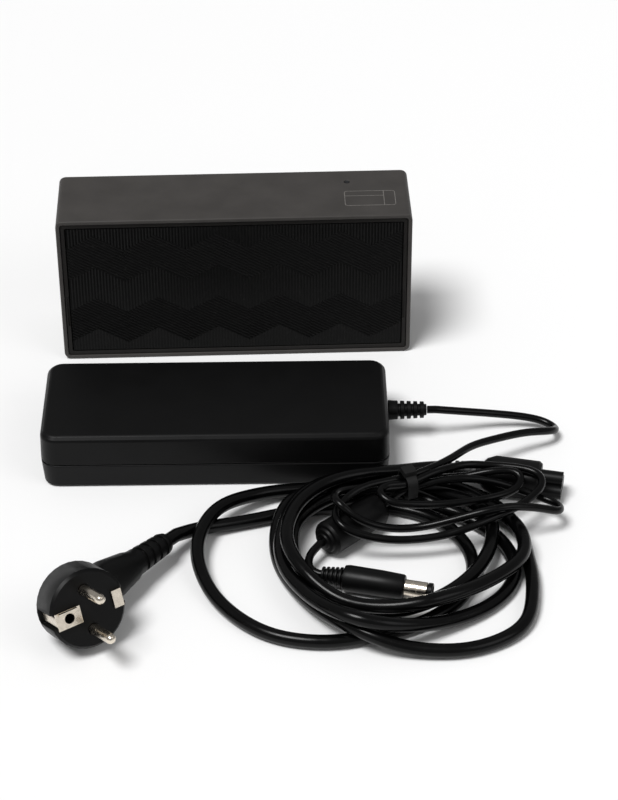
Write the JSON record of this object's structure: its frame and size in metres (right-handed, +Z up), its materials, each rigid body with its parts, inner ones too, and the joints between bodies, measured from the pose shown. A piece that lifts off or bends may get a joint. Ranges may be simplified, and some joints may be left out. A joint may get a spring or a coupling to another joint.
{
  "type": "laptop docking station",
  "caption": "Slim docking station stood on its socket side, with its mains adapter, coiled DC lead with ferrite core, and mains lead with angled earthed plug.",
  "frame": {"origin": "centre of the bottom of the box round the docking station and its adapter, on the surface they rest on", "axes": "+Z up, +X along the docking station's long side, +Y from the adapter towards the docking station, so its textured cover faces -Y"},
  "size_m": [0.2512, 0.288, 0.0825],
  "materials": {
    "case": "soft-touch satin, warm dark grey",
    "trim": "satin, warm dark grey",
    "textured_cover": "black with fine moulded grooves in a tumbling-cube pattern",
    "base": "fine matte texture",
    "feet": "matte",
    "screws": "satin",
    "circuit_board": "green solder mask",
    "socket_plastic": "moulded",
    "port_steel": "plain",
    "chip_plastic": "moulded",
    "capacitor_sleeve": "shrink sleeve",
    "heat_sink_metal": "plain",
    "light_window": "clear, tinted when off",
    "button": "polished",
    "adapter_gloss": "satin to gloss, faint mould grain",
    "adapter_matte": "satin",
    "transformer_tape": "polyester tape",
    "plug_metal": "nickel plate, warm",
    "soft_plastic": "moulded PVC, satin",
    "cord_sheath": "smooth PVC, slight sheen",
    "tie_strap": "matte strap"
  },
  "bodies": {
    "root": {"sleeve": "case", "trim_ring": "trim", "top_cover": "textured_cover", "base_cover": "base", "foot_1": "feet", "foot_2": "feet", "foot_3": "feet", "foot_4": "feet", "base_screw_1": "screws", "base_screw_2": "screws", "base_screw_3": "screws", "base_screw_4": "screws", "main_board": "circuit_board", "dc_jack": "socket_plastic", "audio_jack": "socket_plastic", "usb_a_port_1": "port_steel", "usb_a_port_2": "port_steel", "usb_a_port_3": "port_steel", "ethernet_jack": "port_steel", "hdmi_port": "port_steel", "display_port": "port_steel", "usb_b_port": "port_steel", "display_chip": "chip_plastic", "hub_chip": "chip_plastic", "ethernet_transformer": "chip_plastic", "capacitor_1": "capacitor_sleeve", "capacitor_2": "capacitor_sleeve", "heat_sink": "heat_sink_metal", "status_led": "light_window", "light_pipe": "light_window", "power_switch": "chip_plastic", "adapter_top_shell": "adapter_gloss", "adapter_bottom_shell": "adapter_matte", "adapter_board": "circuit_board", "adapter_transformer": "transformer_tape", "bulk_capacitor": "capacitor_sleeve", "adapter_heat_sink": "heat_sink_metal", "ac_inlet": "socket_plastic", "ac_pin_1": "plug_metal", "ac_pin_2": "plug_metal", "ac_pin_3": "plug_metal", "dc_strain_relief": "soft_plastic", "mains_cord": "cord_sheath", "mains_plug_body": "soft_plastic", "mains_plug_pin_1": "plug_metal", "mains_plug_pin_2": "plug_metal", "earth_contact_1": "plug_metal", "earth_contact_2": "plug_metal", "mains_connector": "soft_plastic", "ferrite_core": "soft_plastic", "dc_cord": "cord_sheath", "dc_cord_tail": "cord_sheath", "dc_plug_body": "soft_plastic", "dc_plug_barrel": "plug_metal", "dc_plug_insulator": "soft_plastic", "dc_plug_pin": "plug_metal", "cable_tie": "tie_strap"},
    "power_button": {"power_button": "button"}
  },
  "joints": [
    {"name": "power_button_press", "type": "slide", "parent": "root", "child": "power_button", "axis": [-1, 0, 0], "range_m": [0, 0.001], "stiffness_N_per_m": 600, "springref_m": -0.0005}
  ]
}
